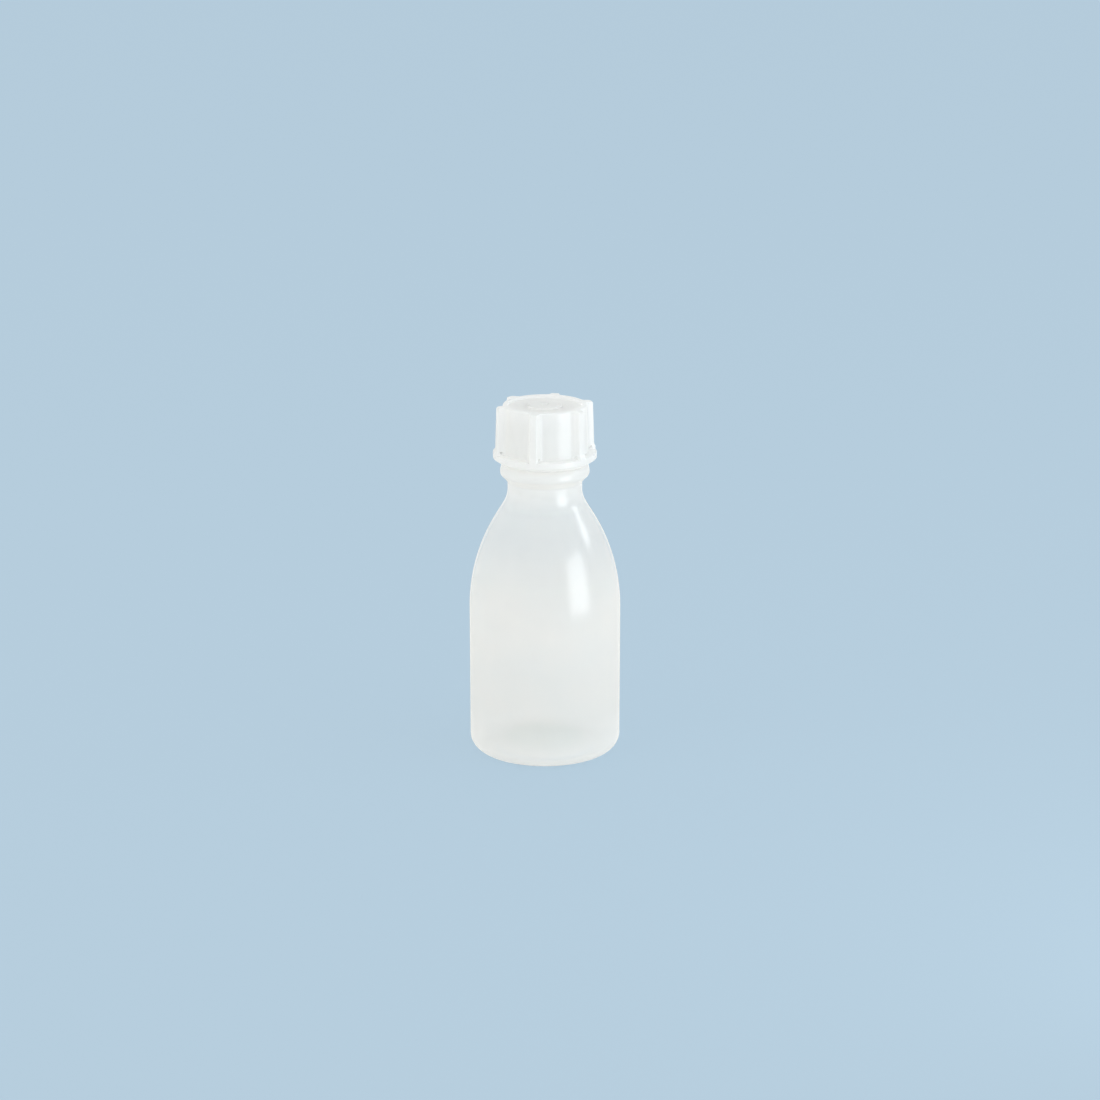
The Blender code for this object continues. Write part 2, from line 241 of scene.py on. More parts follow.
# Light: a bright room, from horizon to zenith, with two soft boxes that show as highlights, a
# warm fill on the left, a cool fill on the right and a front window above the camera
AMBIENT = (1.06, 0.82)
SOFT_BOX_COLOUR = (0.92, 0.97, 1.0)
LAMPS = [
    # name, angle to the right of the camera, distance, height, width, tall, power, colour,
    # aim height, seen in gloss
    ("low_soft_box", 53, 0.22, 0.069, 0.122, 0.142, 0.078, SOFT_BOX_COLOUR, 0.060, True),
    ("side_strip", 96, 0.50, 0.270, 0.14, 0.10, 0.100, SOFT_BOX_COLOUR, 0.060, True),
    ("warm_fill", -60, 1.20, 0.400, 1.20, 1.20, 3.3, (1.0, 0.91, 0.74), 0.045, False),
    ("cool_fill", 75, 1.20, 0.400, 1.20, 1.20, 2.3, (0.56, 0.84, 1.0), 0.045, False),
    ("front_window", 8, 1.60, 1.100, 1.20, 1.20, 2.6, (0.84, 0.94, 1.0), 0.060, False),
]


def arc(centre_r, centre_z, radius, start, end, height=None, step=ARC_STEP):
    """Points on an arc by angle from +X, or on an ellipse where a height is given."""
    height = height or radius
    count = max(2, math.ceil(abs(end - start) / step))
    angles = [start + (end - start) * i / count for i in range(count + 1)]
    return [(centre_r + radius * math.cos(a), centre_z + height * math.sin(a)) for a in angles]


def rounded(corners):
    """A line through corners (x, y, radius), with each corner rounded by its radius."""
    points = []
    for i, (x, y, radius) in enumerate(corners):
        if not radius:
            points.append((x, y))
            continue
        here = Vector((x, y))
        back = Vector(corners[i - 1][:2]) - here
        ahead = Vector(corners[i + 1][:2]) - here
        half = back.angle(ahead) / 2
        reach = min(radius / math.tan(half), back.length / 2, ahead.length / 2)
        used = reach * math.tan(half)
        middle = (back.normalized() + ahead.normalized()).normalized()
        centre = here + middle * used / math.sin(half)
        first = here + back.normalized() * reach - centre
        last = here + ahead.normalized() * reach - centre
        turn = math.atan2(first.cross(last), first.dot(last))
        count = max(2, math.ceil(abs(turn) / ARC_STEP))
        for k in range(count + 1):
            spoke = first.copy()
            spoke.rotate(Matrix.Rotation(turn * k / count, 2))
            points.append(tuple(centre + spoke))
    return points


def spaced(start, end, spacing):
    """Values from start towards end, without the end itself."""
    count = max(1, round(abs(end - start) / spacing))
    return [start + (end - start) * i / count for i in range(count)]


def smooth(share):
    share = min(1, max(0, share))
    return share * share * (3 - 2 * share)


def link(obj):
    bpy.context.scene.collection.objects.link(obj)
    return obj


def skin(name, rings):
    """A closed mesh through rings of points; the first and last are single points on the axis."""
    vertices = []
    starts = []
    for ring in rings:
        starts.append(len(vertices))
        vertices += ring
    faces = []
    for k, (upper, lower) in enumerate(zip(rings, rings[1:])):
        a, b = starts[k], starts[k + 1]
        count = max(len(upper), len(lower))
        for j in range(count):
            n = (j + 1) % count
            if len(upper) == 1:
                faces.append((a, b + j, b + n))
            elif len(lower) == 1:
                faces.append((a + j, b, a + n))
            else:
                faces.append((a + j, b + j, b + n, a + n))
    mesh = bpy.data.meshes.new(name)
    mesh.from_pydata(vertices, [], faces)
    mesh.update()
    return link(bpy.data.objects.new(name, mesh))


def object_from(shape, name):
    """The object of a finished bmesh, which is freed."""
    mesh = bpy.data.meshes.new(name)
    shape.to_mesh(mesh)
    shape.free()
    return link(bpy.data.objects.new(name, mesh))


def join(target, other, operation="UNION"):
    """Adds or cuts another closed shape and removes it."""
    modifier = target.modifiers.new(other.name, "BOOLEAN")
    modifier.object = other
    modifier.operation = operation
    modifier.solver = "MANIFOLD"
    bpy.context.view_layer.update()
    shaped = target.evaluated_get(bpy.context.evaluated_depsgraph_get())
    mesh = bpy.data.meshes.new_from_object(shaped)
    target.modifiers.clear()
    target.data = mesh
    bpy.data.objects.remove(other)


def thread_rise(angle, z, start, bottom, top):
    """How much of a helical ridge's full height stands at an angle and height, from 0 to 1."""
    turns = (angle - start) / math.tau
    whole = round((z - bottom) / THREAD_PITCH - turns)
    middle = bottom + THREAD_PITCH * (turns + whole)
    along = math.tau * (middle - bottom) / THREAD_PITCH
    left = math.tau * (top - middle) / THREAD_PITCH
    flank = (THREAD_BASE_WIDTH - THREAD_CREST_WIDTH) / 2
    side = (THREAD_BASE_WIDTH / 2 - abs(z - middle)) / flank
    return smooth(side) * smooth(min(along, left) / THREAD_FADE)


def lines_the_bore(face, out):
    """Whether a face, at out from the axis, turns towards the axis."""
    return face.normal.dot(out) < -INWARD_LEAN * out.length


def dressed(obj, node, body, materials, choose=None):
    """The piece stands for its node and gets its finishes; choose gives a face's own."""
    obj.data.materials.clear()
    for material in materials:
        obj.data.materials.append(material)
    if choose:
        for face in obj.data.polygons:
            face.material_index = choose(face)
    obj.data.shade_smooth()
    obj.data.set_sharp_from_angle(angle=SHARP_ANGLE)
    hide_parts(node)
    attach(obj, body)


def body_side(inset):
    """The body's side from the neck down to the heel, moved inwards by inset."""
    curve_sum = SHOULDER_RADIUS + NECK_FILLET_RADIUS
    drawn_in = BODY_RADIUS - NECK_RADIUS
    tilt = math.atan2(SHOULDER_RUN, curve_sum)
    turn = math.acos((curve_sum - drawn_in) / math.hypot(curve_sum, SHOULDER_RUN)) - tilt
    neck_bottom = BODY_STRAIGHT_TOP + curve_sum * math.sin(turn) + SHOULDER_RUN * math.cos(turn)
    fillet = arc(
        NECK_RADIUS + NECK_FILLET_RADIUS, neck_bottom, NECK_FILLET_RADIUS + inset,
        math.pi, math.pi + turn, step=FINE_ARC_STEP,
    )
    shoulder = arc(
        BODY_RADIUS - SHOULDER_RADIUS, BODY_STRAIGHT_TOP, SHOULDER_RADIUS - inset,
        turn, 0, step=FINE_ARC_STEP,
    )
    rows = spaced(BODY_STRAIGHT_TOP, HEEL_RADIUS, BODY_ROW)[1:]
    straight = [(BODY_RADIUS - inset, z) for z in rows]
    heel = arc(BODY_RADIUS - HEEL_RADIUS, HEEL_RADIUS, HEEL_RADIUS - inset, 0, -math.pi / 2)
    return fillet + shoulder + straight + heel, neck_bottom


def base_middle(lift):
    """The pushed-up middle of the base from the standing ring to the axis, raised by lift."""
    ring_inner = BODY_RADIUS - HEEL_RADIUS - STANDING_RING_WIDTH
    step_radius = ring_inner - PUSH_UP_STEP
    corners = []
    for r in spaced(step_radius, 0, CROWN_ROW) + [0]:
        crown = PUSH_UP_CROWN * (1 - (r / step_radius) ** 2)
        corners.append((r, lift + PUSH_UP_STEP + crown, 0))
    corners[0] = (*corners[0][:2], SMALL_ROUND)
    outer = [(ring_inner + PUSH_UP_STEP, lift, 0), (ring_inner, lift, SMALL_ROUND)]
    return rounded(outer + corners)


def bottle_profile():
    """From the middle of the floor inside, up, over the rim, and down outside.

    Each point has its radius, its height and whether it is on the outside.
    The height of the bead's top comes with it.
    """
    outside, neck_bottom = body_side(0)
    inside, _ = body_side(BODY_WALL)
    bead_bottom = neck_bottom + NECK_LENGTH
    bead_top = bead_bottom + BEAD_HEIGHT
    peak = bead_bottom + BEAD_PEAK_HEIGHT
    inner = base_middle(BASE_WALL)[::-1] + inside[::-1]
    inner += rounded([
        (NECK_RADIUS - BODY_WALL, neck_bottom + SMALL_ROUND, 0),
        (NECK_RADIUS - BODY_WALL, bead_bottom, NECK_LENGTH),
        (BORE_RADIUS, bead_bottom + BORE_FUNNEL, BORE_FUNNEL),
        (BORE_RADIUS, RIM_TOP, RIM_ROUND),
        ((BORE_RADIUS + FINISH_RADIUS) / 2, RIM_TOP, 0),
    ])
    outer = rounded([
        ((BORE_RADIUS + FINISH_RADIUS) / 2, RIM_TOP, 0),
        (FINISH_RADIUS, RIM_TOP, RIM_ROUND),
        (FINISH_RADIUS, RIM_TOP - THREAD_BELOW_RIM, 0),
    ])[1:]
    thread_rows = spaced(RIM_TOP - THREAD_BELOW_RIM, bead_top + SMALL_ROUND, THREAD_ROW)[1:]
    outer += [(FINISH_RADIUS, z) for z in thread_rows]
    bead_centre = NECK_RADIUS + BEAD_OVERHANG - BEAD_ROUND
    bead = [(FINISH_RADIUS, bead_top + SMALL_ROUND)]
    bead += arc(bead_centre, peak, BEAD_ROUND, math.pi / 2, 0, height=bead_top - peak)
    bead += arc(bead_centre, peak, BEAD_ROUND, 0, -BEAD_CONE_ANGLE)[1:]
    cone_end = bead[-1]
    outer += bead[:-1]
    outer += rounded([
        (*cone_end, 0),
        (NECK_RADIUS, bead_bottom, BEAD_FOOT_FILLET),
        (*outside[0], 0),
    ])[:-1]
    outer += outside + base_middle(0)
    points = [(r, z, False) for r, z in inner] + [(r, z, True) for r, z in outer]
    kept = [points[0]]
    for point in points[1:]:
        if math.dist(point[:2], kept[-1][:2]) > MERGE_DISTANCE:
            kept.append(point)
    return kept, bead_top


def standing_wave(angle, z, share, count, phase, height, height_phase):
    return share * math.sin(count * angle + phase) * math.sin(z / height + height_phase)


def wall_shift(angle, z):
    """How far the blown wall stands inwards of its true circle: slow, shallow waves."""
    share, count, height = SLANTED_WAVE
    wave = standing_wave(angle, z, *BROAD_WAVE)
    wave += share * math.sin(count * angle - z / height)
    wave += standing_wave(angle, z, *NARROW_WAVE)
    return WAVINESS * (0.5 + wave / (2 * WAVE_SHARES))


def bottle_angles():
    """The bottle's columns, with finer ones over the mould's parting lines."""
    fine = PARTING_WIDTH / BODY_RADIUS
    near = [k * fine / 2 for k in (-3, -2, -1, 1, 2, 3)]
    angles = [math.tau * j / BOTTLE_COLUMNS + PARTING_ANGLE for j in range(BOTTLE_COLUMNS)]
    angles += [PARTING_ANGLE + half + offset for half in (0, math.pi) for offset in near]
    return sorted(a % math.tau for a in angles)


def make_bottle(profile, bead_top, thread_bottom, materials):
    thread_top = RIM_TOP - THREAD_BELOW_RIM - THREAD_BASE_WIDTH / 2
    angles = bottle_angles()

    def place(r, z, outside, angle):
        blown = smooth((bead_top - BEAD_HEIGHT - z) / BEAD_HEIGHT) * smooth(z / HEEL_RADIUS)
        radius = r - blown * wall_shift(angle, z)
        if outside:
            if z > bead_top and abs(r - FINISH_RADIUS) < SMALL_ROUND:
                radius += THREAD_DEPTH * thread_rise(angle, z, 0, thread_bottom, thread_top)
            off = math.remainder(angle - PARTING_ANGLE, math.pi) * r / PARTING_WIDTH
            radius += PARTING_PROUD * math.exp(-off * off) * smooth(z / HEEL_RADIUS)
        return (radius * math.cos(angle), radius * math.sin(angle), z)

    rings = [[(0, 0, profile[0][1])]]
    rings += [[place(r, z, outside, a) for a in angles] for r, z, outside in profile[1:-1]]
    rings.append([(0, 0, profile[-1][1])])
    bottle = skin("bottle_body", rings)
    join(bottle, pinch_off())

    step_radius = BODY_RADIUS - HEEL_RADIUS - STANDING_RING_WIDTH - PUSH_UP_STEP

    def choose(face):
        out = Vector((face.center.x, face.center.y, 0))
        low_up = face.normal.z if face.center.z < HEEL_RADIUS else 0
        # The middle of the inner floor gets the painted shadow of the shaded ground under the
        # base
        if low_up > FLOOR_SLOPE and out.length < step_radius - PAINTED_SHADOW_INSET:
            return 2
        return int(lines_the_bore(face, out) or low_up > FLAT_SLOPE)

    dressed(bottle, "bottle", "bottle", materials, choose)


def pinch_off():
    """The rounded bar under the base where the blow mould pinched the tube shut."""
    low = PUSH_UP_STEP + PUSH_UP_CROWN - PINCH_PROUD
    high = PUSH_UP_STEP + PUSH_UP_CROWN + BASE_WALL / 2
    middle = (high + low) / 2
    shape = bmesh.new()
    bmesh.ops.create_cube(shape, size=1)
    bmesh.ops.scale(shape, verts=shape.verts, vec=(PINCH_LENGTH, PINCH_WIDTH, high - low))
    bmesh.ops.translate(shape, verts=shape.verts, vec=(0, 0, middle))
    lower = [e for e in shape.edges if min(v.co.z for v in e.verts) < middle]
    bmesh.ops.bevel(
        shape, geom=lower, offset=PINCH_ROUND, segments=PINCH_ROUND_STEPS, profile=0.5,
        affect="EDGES",
    )
    turn = Matrix.Rotation(PARTING_ANGLE, 3, "Z")
    bmesh.ops.rotate(shape, verts=shape.verts, matrix=turn)
    return object_from(shape, "pinch_off")


def make_insert(material):
    """A hollow plug under a flange, snapped into the cap above its thread."""
    flange_bottom = FLANGE_TOP - FLANGE_THICKNESS
    tip = flange_bottom - PLUG_LENGTH
    plug_radius = BORE_RADIUS - SEAT_GAP
    tip_radius = plug_radius - PLUG_TAPER
    profile = rounded([
        (0, FLANGE_TOP, 0),
        (FLANGE_RADIUS, FLANGE_TOP, INSERT_ROUND),
        (FLANGE_RADIUS, flange_bottom, INSERT_ROUND),
        (plug_radius, flange_bottom, INSERT_ROUND),
        (tip_radius, tip, INSERT_ROUND),
        (tip_radius - PLUG_WALL, tip, INSERT_ROUND),
        (plug_radius - PLUG_WALL, flange_bottom, INSERT_ROUND),
        (0, flange_bottom, 0),
    ])
    angles = [math.tau * j / INSERT_COLUMNS for j in range(INSERT_COLUMNS)]
    rings = [[(0, 0, profile[0][1])]]
    rings += [[(r * math.cos(a), r * math.sin(a), z) for a in angles] for r, z in profile[1:-1]]
    rings.append([(0, 0, profile[-1][1])])
    insert = skin("sealing_insert_moulded", rings)
    dressed(insert, "sealing_insert", "insert", [material])


def rib_columns():
    """Angles around the cap, each with its weight: 0 on the skirt and 1 on a rib's tip."""
    root = RIB_WIDTH / 2 + RIB_FLARE * RIB_PROUD
    section = rounded([
        (2 * root + RIB_ROOT_FILLET, 0, 0),
        (root, 0, RIB_ROOT_FILLET),
        (RIB_WIDTH / 2, RIB_PROUD, RIB_TIP_ROUND),
        (0, RIB_PROUD, 0),
    ])[1:]
    mean_radius = SKIRT_RADIUS - SKIRT_DRAFT / 2
    half = [(math.atan2(y, mean_radius + x), x / RIB_PROUD) for y, x in section]
    sector = math.tau / RIB_COUNT
    edge = half[0][0]
    gap = sector - 2 * edge
    plain = [(edge + gap * i / GAP_COLUMNS, 0.0) for i in range(1, GAP_COLUMNS)]
    one = [(-a, w) for a, w in half] + half[-2::-1] + plain
    columns = []
    for k in range(RIB_COUNT):
        columns += [(RIB_PHASE + sector * k + a, w) for a, w in one]
    return columns


def skirt_line(z):
    """The skirt's outer radius at a height above the cap's bottom."""
    return SKIRT_RADIUS - SKIRT_DRAFT * z / (CAP_TOP - CAP_BOTTOM - CAP_EDGE_ROUND)


def rib_foot_radius():
    """How far a rib's foot reaches from the axis where it is widest."""
    return skirt_line(FOOT_PEAK_HEIGHT) + RIB_PROUD + FOOT_PROUD


def cap_rows():
    """Rows from the middle of the top, down outside and up inside.

    Each row holds a point of the skirt's profile and the matching point of a rib's.
    """
    height = CAP_TOP - CAP_BOTTOM
    rim_outer = SKIRT_RADIUS - SKIRT_DRAFT - CAP_EDGE_ROUND
    ceiling = FLANGE_TOP + SEAT_GAP - CAP_BOTTOM
    panel = ceiling + PANEL_THICKNESS
    boss = panel + BOSS_HEIGHT
    rim_inner = rim_outer - RIM_WIDTH
    collar_radius = SKIRT_RADIUS + COLLAR_PROUD

    top = rounded([
        (0, boss, 0),
        (NUB_RADIUS, boss, SMALL_ROUND),
        (GATE_RADIUS - 2 * GATE_DEPTH, boss - GATE_DEPTH, SMALL_ROUND),
        (GATE_RADIUS - GATE_DEPTH, boss - GATE_DEPTH, SMALL_ROUND),
        (GATE_RADIUS, boss, SMALL_ROUND),
        (BOSS_RADIUS, boss, BOSS_ROUND),
        (BOSS_RADIUS, panel, SMALL_ROUND),
        (rim_inner, panel, SMALL_ROUND),
        (rim_inner, height, SMALL_ROUND),
        (rim_outer, height, 0),
    ])
    rows = [(point, point) for point in top]

    # The skirt's rounded top edge and the rib's flat top and rounded corner
    rib_top = height - RIB_END_GAP
    corner_z = rib_top - RIB_TOP_ROUND
    corner_r = skirt_line(corner_z) + RIB_PROUD - RIB_TOP_ROUND
    rib_edge = [(rim_outer + (corner_r - rim_outer) * s, rib_top) for s in RIB_TOP_SHARES]
    rib_edge += arc(
        corner_r, corner_z, RIB_TOP_ROUND, math.pi / 2, 0, step=RIB_TOP_ARC_STEP,
    )
    # A little more than one step, so that rounding never adds a point
    turn = math.pi / 2 / (len(rib_edge) - 1) * STEP_ALLOWANCE
    skirt_edge = arc(
        rim_outer, height - CAP_EDGE_ROUND, CAP_EDGE_ROUND, math.pi / 2, 0, step=turn,
    )
    rows += list(zip(skirt_edge, rib_edge))[1:]

    # Down the sides and over the foot's swelling
    side = spaced(corner_z, FOOT_HEIGHT, RIB_ROW)[1:]
    side += spaced(FOOT_HEIGHT, FOOT_PEAK_HEIGHT, FOOT_ROW)
    for z in side:
        swell = smooth((FOOT_HEIGHT - z) / (FOOT_HEIGHT - FOOT_PEAK_HEIGHT))
        skirt_r = skirt_line(z)
        rows.append(((skirt_r, z), (skirt_r + RIB_PROUD + FOOT_PROUD * swell, z)))

    # The skirt turns out along the collar's ledge while the foot curves down into its side
    foot_centre = rib_foot_radius() - FOOT_ROUND
    merge = math.acos((collar_radius - foot_centre) / FOOT_ROUND)
    drop = FOOT_PEAK_HEIGHT - FOOT_SUNK
    merge_z = FOOT_PEAK_HEIGHT - drop * math.sin(merge)
    ledge = rounded([
        (skirt_line(FOOT_PEAK_HEIGHT), FOOT_PEAK_HEIGHT, 0),
        (skirt_line(COLLAR_HEIGHT), COLLAR_HEIGHT, SMALL_ROUND),
        ((skirt_line(COLLAR_HEIGHT) + collar_radius) / 2, COLLAR_HEIGHT, 0),
        (collar_radius, COLLAR_HEIGHT, COLLAR_EDGE),
        (collar_radius, merge_z, 0),
    ])
    for i, point in enumerate(ledge):
        turn = merge * i / (len(ledge) - 1)
        foot_r = foot_centre + FOOT_ROUND * math.cos(turn)
        rows.append((point, (foot_r, FOOT_PEAK_HEIGHT - drop * math.sin(turn))))

    # The collar's side and cone, the underside, the lead-in and the bore up to the ceiling
    thread_bottom = LEAD_IN + CAP_THREAD_ABOVE_LEAD_IN
    thread_top = FLANGE_TOP - FLANGE_THICKNESS - CAP_BOTTOM
    inner = rounded([
        (collar_radius, merge_z, 0),
        (collar_radius, COLLAR_CONE_HEIGHT, SMALL_ROUND),
        (SKIRT_RADIUS + COLLAR_FOOT_PROUD, 0, SMALL_ROUND),
        (CAP_BORE + LEAD_IN, 0, SMALL_ROUND),
        (CAP_BORE, LEAD_IN, SMALL_ROUND),
        (CAP_BORE, thread_bottom, 0),
    ])[1:]
    inner += [(CAP_BORE, z) for z in spaced(thread_bottom, thread_top, THREAD_ROW)[1:]]
    inner += rounded([
        (CAP_BORE, thread_top, 0),
        (CAP_BORE, ceiling, SMALL_ROUND),
        (0, ceiling, 0),
    ])
    return rows + [(point, point) for point in inner]


def make_cap(neck_thread_bottom, materials):
    """One loft: each column runs between the skirt's profile and a rib's by its weight."""
    columns = rib_columns()
    slope = (THREAD_BASE_WIDTH - THREAD_CREST_WIDTH) / (2 * THREAD_DEPTH)
    rise = CAP_BORE - FINISH_RADIUS
    below = THREAD_BASE_WIDTH - slope * rise + SEAT_GAP
    bottom = LEAD_IN + CAP_THREAD_ABOVE_LEAD_IN + THREAD_BASE_WIDTH / 2
    top = FLANGE_TOP - FLANGE_THICKNESS - CAP_BOTTOM - SEAT_GAP - THREAD_BASE_WIDTH / 2
    start = math.tau * (CAP_BOTTOM + bottom + below - neck_thread_bottom) / THREAD_PITCH
    depth = rise - THREAD_CLEARANCE

    rings = []
    for (skirt_r, skirt_z), (rib_r, rib_z) in cap_rows():
        if skirt_r == 0:
            rings.append([(0, 0, CAP_BOTTOM + skirt_z)])
            continue
        ring = []
        for angle, weight in columns:
            radius = skirt_r + weight * (rib_r - skirt_r)
            z = skirt_z + weight * (rib_z - skirt_z)
            if skirt_r == CAP_BORE:
                radius -= depth * thread_rise(angle, z, start, bottom, top)
            ring.append((radius * math.cos(angle), radius * math.sin(angle), CAP_BOTTOM + z))
        rings.append(ring)
    cap = skin("screw_cap_moulded", rings)
    join(cap, wire_holes(), "DIFFERENCE")

    thread_crest = CAP_BORE - THREAD_DEPTH / 3

    def choose(face):
        out = Vector((face.center.x, face.center.y, 0))
        if out.length >= CAP_BORE + SMALL_ROUND or face.center.z >= CAP_TOP - PANEL_THICKNESS:
            return 0
        if out.length < thread_crest and face.center.z < FLANGE_TOP - FLANGE_THICKNESS:
            return 0
        return int(lines_the_bore(face, out) or face.normal.z < -FLAT_SLOPE)

    dressed(cap, "screw_cap", "cap", materials, choose)


def wire_holes():
    """Six small rods across the feet, for the holes."""
    hole_r = rib_foot_radius() - WIRE_HOLE_COVER - WIRE_HOLE_RADIUS
    hole_z = CAP_BOTTOM + COLLAR_HEIGHT + WIRE_HOLE_ABOVE_COLLAR
    shape = bmesh.new()
    for k in range(RIB_COUNT):
        rod = bmesh.ops.create_cone(
            shape, cap_ends=True, segments=WIRE_HOLE_SIDES, radius1=WIRE_HOLE_RADIUS,
            radius2=WIRE_HOLE_RADIUS, depth=WIRE_ROD_LENGTH,
        )["verts"]
        bmesh.ops.rotate(shape, verts=rod, matrix=Matrix.Rotation(math.pi / 2, 3, "X"))
        bmesh.ops.translate(shape, verts=rod, vec=(hole_r, 0, hole_z))
        turn = Matrix.Rotation(RIB_PHASE + math.tau * k / RIB_COUNT, 3, "Z")
        bmesh.ops.rotate(shape, verts=rod, matrix=turn)
    return object_from(shape, "wire_holes")


class Graph:
    """A small helper for writing node trees in order."""

    def __init__(self, tree):
        self.tree = tree
        tree.nodes.clear()

    def feed(self, socket, value):
        """Links another node's output, or sets the socket; a colour gets its alpha of 1."""
        if isinstance(value, bpy.types.NodeSocket):
            self.tree.links.new(value, socket)
        elif socket.type == "RGBA":
            socket.default_value = (*value, 1)
        else:
            socket.default_value = value

    def add(self, kind, values=None, **settings):
        node = self.tree.nodes.new(kind)
        for name, value in settings.items():
            setattr(node, name, value)
        for name, value in (values or {}).items():
            self.feed(node.inputs[name], value)
        return node

    def maths(self, operation, first, second):
        node = self.add("ShaderNodeMath", {0: first, 1: second}, operation=operation)
        return node.outputs["Value"]

    def mix_shaders(self, share, first, second):
        node = self.add("ShaderNodeMixShader", {"Fac": share, 1: first, 2: second})
        return node.outputs["Shader"]

    def mix_colours(self, share, first, second):
        node = self.add("ShaderNodeMix", data_type="RGBA")
        sockets = {socket.identifier: socket for socket in [*node.inputs, *node.outputs]}
        self.feed(sockets["Factor_Float"], share)
        self.feed(sockets["A_Color"], first)
        self.feed(sockets["B_Color"], second)
        return sockets["Result_Color"]

    def spread(self, value, low, high, to_low, to_high, **settings):
        node = self.add("ShaderNodeMapRange", {
            "Value": value, "From Min": low, "From Max": high,
            "To Min": to_low, "To Max": to_high,
        }, **settings)
        return node.outputs["Result"]

    def by_height(self, height, stops):
        """A value that changes smoothly with height, from stops of (height, value)."""
        total = stops[0][1]
        for (z_low, low), (z_high, high) in zip(stops, stops[1:]):
            ramp = self.spread(
                height, z_low, z_high, 0, high - low, interpolation_type="SMOOTHSTEP",
            )
            total = self.maths("ADD", total, ramp)
        return total

    def noise(self, place, scale, detail):
        node = self.add("ShaderNodeTexNoise", {
            "Vector": place, "Scale": scale, "Detail": detail,
        })
        return node.outputs["Fac"]


def natural_plastic(name, light, shade, roughness, translucence, clearness, grain,
                    coat=0, coat_roughness=0, whiteness_and_painted_light=((0, 0),)):
    """Unpigmented polyethylene: cloudy colour, uneven gloss, fine grain and upright flow lines.

    clearness and whiteness_and_painted_light are stops of (height, share); the second whitens the
    tint, partly for a thicker wall and partly as painted light.
    """
    material = bpy.data.materials.new(name)
    material.use_nodes = True
    graph = Graph(material.node_tree)
    place = graph.add("ShaderNodeTexCoord").outputs["Object"]
    z = graph.add("ShaderNodeSeparateXYZ", {"Vector": place}).outputs["Z"]
    upright = graph.add("ShaderNodeMapping", {"Vector": place, "Scale": FLOW_STRETCH})
    cloud = graph.noise(place, *CLOUD_NOISE)
    patchy = graph.noise(place, *PATCH_NOISE)
    flow = graph.noise(upright.outputs["Vector"], *FLOW_NOISE)
    fine = graph.noise(place, *GRAIN_NOISE)

    tint = graph.mix_colours(graph.spread(cloud, *NOISE_BAND, 0, 1), light, shade)
    # Whitening by height: partly a thicker wall, partly painted light over places in shade
    tint = graph.mix_colours(graph.by_height(z, whiteness_and_painted_light), tint, WHITE)
    gloss = graph.spread(patchy, *NOISE_BAND, *roughness)
    normal = graph.add("ShaderNodeBump", {
        "Height": graph.maths("ADD", flow, fine), "Strength": BUMP_STRENGTH, "Distance": grain,
    }).outputs["Normal"]
    edge = graph.add("ShaderNodeLayerWeight", {"Blend": 0.5, "Normal": normal})
    grazing = edge.outputs["Facing"]

    # All gloss comes from the coat, so the specular level is 0
    shader = graph.add("ShaderNodeBsdfPrincipled", {
        "Base Color": tint, "Roughness": gloss, "Normal": normal, "IOR": REFRACTION,
        "Specular IOR Level": 0.0, "Sheen Weight": SHEEN, "Sheen Roughness": SHEEN_ROUGHNESS,
        "Sheen Tint": SHEEN_TINT,
    })
    through = graph.add("ShaderNodeBsdfTranslucent", {"Color": tint, "Normal": normal})
    clear = graph.add("ShaderNodeBsdfTransparent", {"Color": CLEAR})
    milky = graph.mix_shaders(translucence, shader.outputs["BSDF"], through.outputs["BSDF"])
    thinness = graph.maths(
        "MULTIPLY", graph.by_height(z, clearness), graph.spread(grazing, *CLEAR_FADE, 1, 0),
    )
    surface = graph.mix_shaders(thinness, milky, clear.outputs["BSDF"])
    if coat:
        share = graph.spread(grazing, *COAT_FADE, coat, 0)
        polish = graph.add("ShaderNodeBsdfGlossy", {
            "Color": CLEAR, "Roughness": coat_roughness, "Normal": normal,
        })
        surface = graph.mix_shaders(share, surface, polish.outputs["BSDF"])
    graph.add("ShaderNodeOutputMaterial", {"Surface": surface})
    return material


def seen_directly(graph):
    """1 for rays from the camera and for those mirrored or let through clearly by the object."""
    path = graph.add("ShaderNodeLightPath").outputs
    clear = graph.maths("SUBTRACT", path["Is Transmission Ray"], path["Is Diffuse Ray"])
    first = graph.maths("MAXIMUM", path["Is Camera Ray"], clear)
    return graph.maths("MAXIMUM", path["Is Glossy Ray"], first)


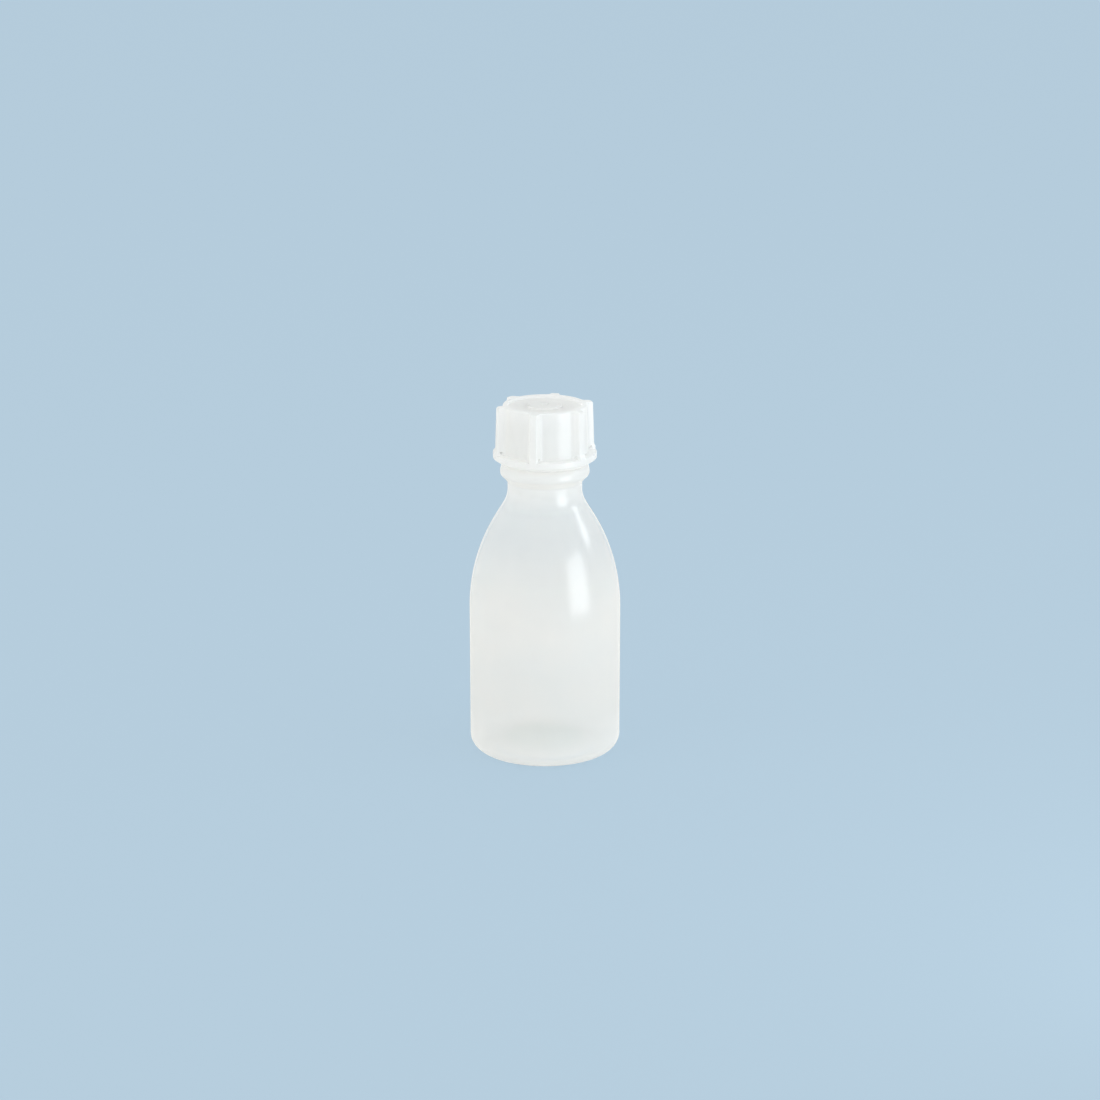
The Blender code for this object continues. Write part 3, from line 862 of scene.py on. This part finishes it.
def make_stage():
    """The floor and the world: the ground's colour where seen, plain light everywhere else."""
    bpy.ops.mesh.primitive_plane_add(size=FLOOR_SIZE, location=(0, 0, -FLOOR_DROP))
    floor = bpy.context.object
    floor.name = "floor"
    material = bpy.data.materials.new("floor")
    material.use_nodes = True
    graph = Graph(material.node_tree)
    plain = graph.add("ShaderNodeBsdfDiffuse", {"Color": NEUTRAL}).outputs["BSDF"]
    shaded = graph.add("ShaderNodeBsdfDiffuse", {"Color": GROUND}).outputs["BSDF"]
    glow = graph.add("ShaderNodeEmission", {"Color": GROUND, "Strength": 1.0})
    seen = graph.mix_shaders(FLOOR_SHADOW_SHARE, glow.outputs["Emission"], shaded)
    surface = graph.mix_shaders(seen_directly(graph), plain, seen)
    graph.add("ShaderNodeOutputMaterial", {"Surface": surface})
    floor.data.materials.append(material)

    world = bpy.data.worlds.new("studio")
    world.use_nodes = True
    bpy.context.scene.world = world
    graph = Graph(world.node_tree)
    direction = graph.add("ShaderNodeTexCoord").outputs["Generated"]
    up = graph.add("ShaderNodeSeparateXYZ", {"Vector": direction}).outputs["Z"]
    ambient = graph.add("ShaderNodeBackground", {
        "Color": CLEAR, "Strength": graph.spread(up, 0, 1, *AMBIENT),
    }).outputs["Background"]
    backdrop = graph.add("ShaderNodeBackground", {"Color": GROUND, "Strength": 1.0})
    surface = graph.mix_shaders(seen_directly(graph), ambient, backdrop.outputs["Background"])
    graph.add("ShaderNodeOutputWorld", {"Surface": surface})


def make_lamps():
    for name, side, distance, height, width, tall, power, colour, aim, mirrored in LAMPS:
        lamp = bpy.data.lights.new(name, "AREA")
        lamp.shape = "RECTANGLE"
        lamp.size = width
        lamp.size_y = tall
        lamp.energy = power
        lamp.color = colour
        obj = link(bpy.data.objects.new(name, lamp))
        angle = math.radians(side)
        place = Vector((distance * math.sin(angle), -distance * math.cos(angle), height))
        obj.location = place
        obj.rotation_euler = (Vector((0, 0, aim)) - place).to_track_quat("-Z", "Y").to_euler()
        obj.visible_camera = False
        obj.visible_glossy = mirrored


def make_camera():
    data = bpy.data.cameras.new("camera")
    data.sensor_width = SENSOR_WIDTH
    data.lens = FOCAL_PIXELS / FRAME_PIXELS * SENSOR_WIDTH
    data.clip_start, data.clip_end = CAMERA_CLIP
    camera = link(bpy.data.objects.new("camera", data))
    camera.location = CAMERA_PLACE
    camera.rotation_euler = (math.pi / 2 - CAMERA_PITCH, 0, 0)
    bpy.context.scene.camera = camera


bottle_plastic = natural_plastic(
    "natural_bottle_plastic", BOTTLE_LIGHT, BOTTLE_SHADE, roughness=(0.29, 0.36),
    translucence=0.5, clearness=BOTTLE_CLEARNESS, grain=0.000008,
    coat=0.13, coat_roughness=0.19, whiteness_and_painted_light=BOTTLE_WHITENESS_AND_PAINTED_LIGHT,
)
bottle_lining = natural_plastic(
    "natural_bottle_lining", BOTTLE_LIGHT, BOTTLE_SHADE, roughness=(0.34, 0.42),
    translucence=0.7, clearness=[(0, 0.85)], grain=0.000008,
)
# Painted shadow on the middle of the inner floor: a dark blue-green for the shaded ground under
# the base
painted_base_shadow = natural_plastic(
    "natural_painted_base_shadow", BASE_PAINTED_SHADOW, BASE_PAINTED_SHADOW, roughness=(0.34, 0.42),
    translucence=0.5, clearness=[(0, 0.52)], grain=0.000012,
    coat=0.05, coat_roughness=0.19,
)
cap_plastic = natural_plastic(
    "natural_cap_plastic", CAP_LIGHT, CAP_SHADE, roughness=(0.29, 0.38),
    translucence=0.5, clearness=[(0, 0.11)], grain=0.000010,
    coat=0.08, coat_roughness=0.22,
)
cap_lining = natural_plastic(
    "natural_cap_lining", INNER_LIGHT, INNER_SHADE, roughness=(0.34, 0.42),
    translucence=0.8, clearness=[(0, 0.5)], grain=0.000010,
)
insert_plastic = natural_plastic(
    "natural_insert_plastic", INNER_LIGHT, INNER_SHADE, roughness=(0.38, 0.50),
    translucence=0.5, clearness=[(0, 0.5)], grain=0.000014,
)
bottle_points, bead_top = bottle_profile()
thread_bottom = bead_top + THREAD_ABOVE_BEAD + THREAD_BASE_WIDTH / 2
bottle_plastics = [bottle_plastic, bottle_lining, painted_base_shadow]
make_bottle(bottle_points, bead_top, thread_bottom, bottle_plastics)
make_insert(insert_plastic)
make_cap(thread_bottom, [cap_plastic, cap_lining])
make_stage()
make_lamps()
make_camera()
bpy.context.scene.view_settings.view_transform = "Standard"
